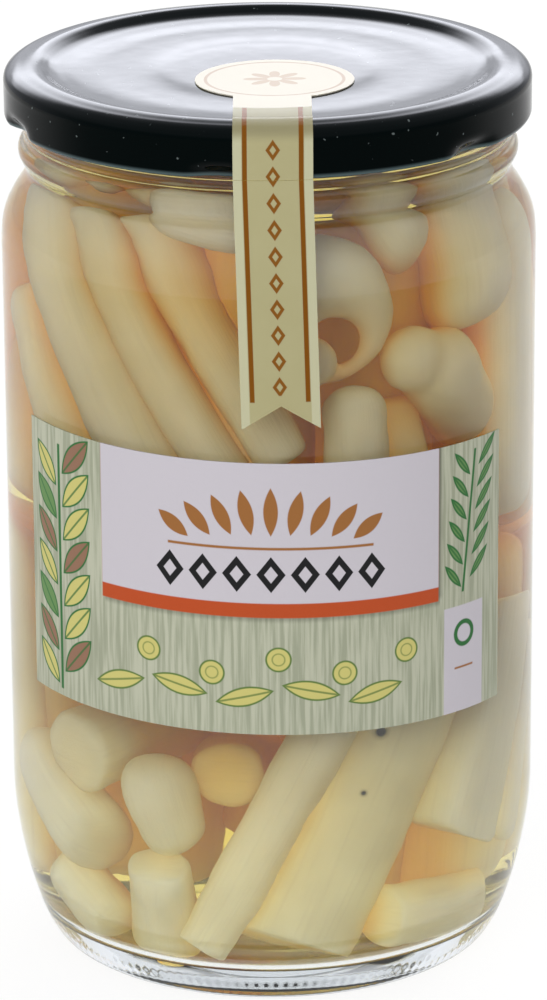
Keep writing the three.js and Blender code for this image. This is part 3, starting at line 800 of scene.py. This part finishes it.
spot = print_ink.node("CombineXYZ", {}, {"X": across * 1.5, "Y": rise * 0.06, "Z": 0.0})
streak = print_ink.clouds(1.0, detail=3.0, at=spot)
ruling = print_ink.range(streak, 0.38, 0.62)
tone = print_ink.blend(ruling, srgb(153, 157, 135), srgb(180, 182, 161))

# A tall spray of bark-brown and straw leaves on the left, a green one on the right.
stem = inside(across, -38.6, -38.0) * inside(rise, 50.5, 92.0)
tone = printed(tone, stem, GREEN)
for step in range(7):
    height = 54.5 + 5.6 * step
    fill = (STRAW, BARK, MOSS)[step % 3]
    tone = leaf(tone, (-41.6, height), 8.4, 3.4, 128, fill, GREEN)
    tone = leaf(tone, (-34.4, height + 2.6), 9.4, 3.8, 48, (BARK, STRAW, STRAW)[step % 3], GREEN)
stem = inside(across - (rise - 72) * 0.12, 33.8, 34.3) * inside(rise, 69.5, 93.0)
tone = printed(tone, stem, GREEN)
for step in range(6):
    height = 72.5 + 3.7 * step
    tone = leaf(tone, (31.6 + 0.4 * step, height), 5.6, 1.5, 130, MOSS, GREEN)
    tone = leaf(tone, (37.6 + 0.4 * step, height + 1.4), 6.4, 1.5, 46, MOSS, GREEN)

# A row of slices and straw leaves along the foot.
for step in range(5):
    at = -25.5 + 10.6 * step
    tone = leaf(tone, (at, 55.6 + 1.1 * (step % 2)), 9.6, 3.3, 14 - 26 * (step % 2), STRAW, OLIVE)
    tone = slice_of_root(tone, (at + 5.4, 62.0 - 2.6 * (step % 2)), 2.1, STRAW, OLIVE)

# The pale panel with its orange foot and soft shadow, left bare but for a brown sprig, a rule
# and a row of dark lozenges.
PANEL_LEFT, PANEL_RIGHT, PANEL_LOW, BAND = -28.7, 28.5, 71.4, 2.4
BAND_LOW = PANEL_LOW - BAND
under = inside(across, PANEL_LEFT + 0.5, PANEL_RIGHT + 0.3)
below = print_ink.range(rise, BAND_LOW - 1.1, BAND_LOW)
beside = print_ink.range(across, PANEL_RIGHT + 1.3, PANEL_RIGHT) * print_ink.range(rise, 69.0, 70.0)
tone = printed(tone, under * below * 0.45, (70, 70, 56))
tone = printed(tone, beside * print_ink.range(across, 0, 1) * 0.5, (70, 70, 60))
on_panel = inside(across, PANEL_LEFT, PANEL_RIGHT)
above_band = print_ink.range(rise, BAND_LOW - edge, BAND_LOW + edge)
tone = printed(tone, on_panel * above_band, (180, 72, 26))
above_low = print_ink.range(rise, PANEL_LOW - edge, PANEL_LOW + edge)
panel_tone = srgb(193, 188, 195)
tone = print_ink.blend(on_panel * above_low, tone, panel_tone)
BROWN, INK = (150, 98, 48), (22, 22, 24)
for step in range(-4, 5):
    tilt = 90 - 13 * step
    reach = 8.0 - 0.45 * abs(step)
    tone = leaf(tone, (3.9 * step, 86.6 - 0.18 * step * step), reach, 2.3, tilt, BROWN, BROWN)
tone = printed(tone, inside(rise, 80.3, 80.75) * inside(across, -16.5, 16.5), BROWN)
for step in range(-3, 4):
    off = abs(across - 5.4 * step) / 2.3 + abs(rise - 76.2) / 3.0
    tone = printed(tone, print_ink.range(off, 1.03, 0.97), INK)
    tone = print_ink.blend(print_ink.range(off, 0.50, 0.44), tone, panel_tone)

# The small pale box at the right foot, with a green ring and a rule.
box = inside(across, 29.7, 38.6) * print_ink.range(rise, 67.3 + edge, 67.3 - edge)
tone = print_ink.blend(box, tone, panel_tone)
off = ((across - 34.1) * (across - 34.1) + (rise - 62.5) * (rise - 62.5)) ** 0.5
tone = printed(tone, inside(off, 1.5, 2.3), GREEN)
tone = printed(tone, inside(rise, 56.6, 56.95) * inside(across, 32.0, 36.2), BROWN)

tooth = print_ink.clouds(1400.0)
print_ink.output(print_ink.node("BsdfPrincipled", {}, {
    "Base Color": tone, "Roughness": 0.42, "IOR": 1.35,
    "Normal": print_ink.bump(0.15, tooth * 0.2)}))
label.data.materials.append(print_ink.owner)
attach(label, "jar")
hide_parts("label")


# ---- The paper seal ----
# A glossy paper strip with a round head: the head lies on the lid, and the strip runs over the
# raised ring, down the skirt and on to the jar's body, where it ends in a swallow-tail.

SEAL_WIDTH = 12.3
SEAL_X = 0.7
HEAD_X, HEAD_Y, HEAD_R = 1.1, -7.3, 12.7
PAINTED_GLARE_TO = 26.0                   # how far from the lid's middle the seal's paper is painted white, a painted reflection of the bright panel overhead
TIP_Z, NOTCH_Z = 100.2, 104.0
TAIL_DRIFT = 0.0265               # how far the tail leans to the right for each step down


def paper_strip(name, path, centre, tail=None):
    """A strip laid on (radius, height) points, as wide as the seal."""
    rows = len(path) - 1
    bpy.ops.object.select_all(action="DESELECT")
    bpy.ops.mesh.primitive_grid_add(x_subdivisions=16, y_subdivisions=rows, size=1)
    strip = bpy.context.object
    strip.name = name
    for vertex in strip.data.vertices:
        row = round((0.5 - vertex.co.y) * rows)
        radius, height = path[row]
        x = centre(height) + vertex.co.x * SEAL_WIDTH
        if tail:
            height += tail * (1 - abs(2 * vertex.co.x)) * eased(TIP_Z + 14 - height, 0, 14)
        vertex.co = Vector((x, -math.sqrt(radius * radius - x * x), height)) * mm
    return strip


def thickened(piece):
    """Gives a strip its paper's thickness, on its outer side."""
    select_only(piece)
    bpy.ops.object.mode_set(mode="EDIT")
    bpy.ops.mesh.select_all(action="SELECT")
    bpy.ops.mesh.normals_make_consistent(inside=False)
    bpy.ops.object.mode_set(mode="OBJECT")
    sheet = piece.modifiers.new("sheet", "SOLIDIFY")
    sheet.thickness = PAPER * mm
    sheet.offset = 1
    bpy.ops.object.modifier_apply(modifier=sheet.name)
    bpy.ops.object.shade_smooth_by_angle(angle=math.radians(40))


def finer(path, parts):
    """The path with every stretch cut into equal parts."""
    points = []
    for (r0, z0), (r1, z1) in zip(path, path[1:]):
        points += [(r0 + (r1 - r0) * k / parts, z0 + (z1 - z0) * k / parts) for k in range(parts)]
    return points + [path[-1]]


over_lid = [
    (19.0, 147.1), (24.0, 147.1), (29.5, 147.13), (32.45, 147.29), (34.83, 147.61),
    (35.8, 148.06), (36.63, 148.41), (37.5, 148.56), (38.25, 148.56), (39.65, 148.33),
    (40.88, 148.06), (41.7, 147.6), (42.26, 147.0), (42.51, 146.2), (42.51, 145.5),
    (42.51, 141.2), (42.46, 140.6), (42.46, LID_BOTTOM + 0.1),
]
seal_cap = paper_strip("seal_over_lid", finer(over_lid, 3), lambda height: SEAL_X)
thickened(seal_cap)
bpy.ops.object.select_all(action="DESELECT")
bpy.ops.mesh.primitive_cylinder_add(
    vertices=96, radius=HEAD_R * mm, depth=(PAPER + 0.08) * mm,
    location=(HEAD_X * mm, HEAD_Y * mm, (147.06 + PAPER / 2) * mm))
head = bpy.context.object
head.name = "seal_head"
bpy.ops.object.transform_apply(location=True, rotation=True, scale=True)
for vertex in head.data.vertices:
    sunk = 0.2 * (1 - eased(vertex.co.xy.length / mm, 14, 20))
    vertex.co.z -= (sunk + (0.1 if vertex.co.z > 147.1 * mm else 0)) * mm
select_only(seal_cap)
union = seal_cap.modifiers.new("union", "BOOLEAN")
union.operation = "UNION"
union.object = head
bpy.ops.object.modifier_apply(modifier=union.name)
bpy.data.objects.remove(head)
bpy.ops.object.shade_smooth_by_angle(angle=math.radians(40))

down_jar = [
    (42.46, LID_BOTTOM + 0.03), (42.62, 138), (42.86, 134), (43.1, 130), (43.25, 126.5),
    (43.35, 123), (43.35, 119), (43.35, 110), (43.35, TIP_Z),
]
seal_tail = paper_strip(
    "seal_tail_strip", finer(down_jar, 3),
    lambda height: SEAL_X + (LID_BOTTOM - height) * TAIL_DRIFT, tail=NOTCH_Z - TIP_Z)
thickened(seal_tail)

seal_ink = Finish(bpy.data.materials.new("seal_print"))
x, y, z = seal_ink.place()
on_lid = seal_ink.range(z, 146.9, 147.0)
lean = ((LID_BOTTOM - z) * TAIL_DRIFT).math("MAXIMUM", 0.0)
aside = abs(x - lean - SEAL_X)
cloudy = seal_ink.clouds(120.0, detail=3.0)
tone = seal_ink.blend(cloudy, srgb(165, 158, 117), srgb(173, 167, 129))
tone = seal_ink.blend(seal_ink.range(aside, 4.75, 4.9) * 0.6, tone, srgb(196, 196, 168))
off_head = ((x - HEAD_X) * (x - HEAD_X) + (y - HEAD_Y) * (y - HEAD_Y)) ** 0.5
off_axis = (x * x + y * y) ** 0.5
# On the lid's top the paper is painted near-white, in the head and out to a set distance from the
# lid's middle: a painted reflection of the bright panel overhead in the glossy paper, with the ring
# and rosette printed over it.
painted_glare = seal_ink.range(off_head, HEAD_R + 0.1, HEAD_R - 0.1)
painted_glare = painted_glare.math("MAXIMUM", seal_ink.range(off_axis, PAINTED_GLARE_TO + 0.8, PAINTED_GLARE_TO))
glare_on_lid = painted_glare * on_lid
line = seal_ink.range(abs(aside - 4.35), 0.45, 0.30) * seal_ink.range(z, 104.5, 104.7)
line = line * (1 - glare_on_lid)
ring = seal_ink.range(abs(off_head - (HEAD_R - 1.7)), 0.34, 0.2) * on_lid
over_edge = seal_ink.range(z, 145.8, 148.0) * (1 - glare_on_lid)
tone = seal_ink.blend(over_edge, tone, srgb(146, 140, 108))
tone = seal_ink.blend(glare_on_lid, tone, srgb(206, 200, 184))
tone = seal_ink.blend(line, tone, srgb(122, 74, 20))
tone = seal_ink.blend(ring * 0.6, tone, srgb(160, 120, 90))

# A chain of small lozenges down the middle, and a plain rosette on the head.
LINK = 4.2                        # from one lozenge to the next
along_strip = (z / LINK).math("FRACT") * LINK - LINK / 2
link = abs(along_strip) / 1.7 + aside / 1.15
chain = seal_ink.range(link, 1.05, 0.92) * (1 - on_lid) * seal_ink.range(z, 105.6, 105.8)
hole = seal_ink.range(link, 0.5, 0.38)
tone = seal_ink.blend(chain * (1 - hole), tone, srgb(128, 82, 30))
petals = (y - HEAD_Y).math("ARCTAN2", x - HEAD_X) * 4
petal_edge = abs(petals.math("COSINE")) * 3.4 + 1.6
rosette = seal_ink.range(off_head - petal_edge, 0.15, -0.15) * on_lid
rosette = rosette * seal_ink.range(off_head, 1.1, 1.3)
tone = seal_ink.blend(rosette * 0.6, tone, srgb(170, 136, 104))
seal_ink.output(seal_ink.node("BsdfPrincipled", {}, {
    "Base Color": tone, "Roughness": 0.25, "IOR": 1.1,
    "Normal": seal_ink.bump(0.1, cloudy * 0.4)}))

for piece, body, node in ((seal_cap, "lid", "seal_cap"), (seal_tail, "jar", "seal_tail")):
    piece.data.materials.append(seal_ink.owner)
    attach(piece, body)
    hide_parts(node)
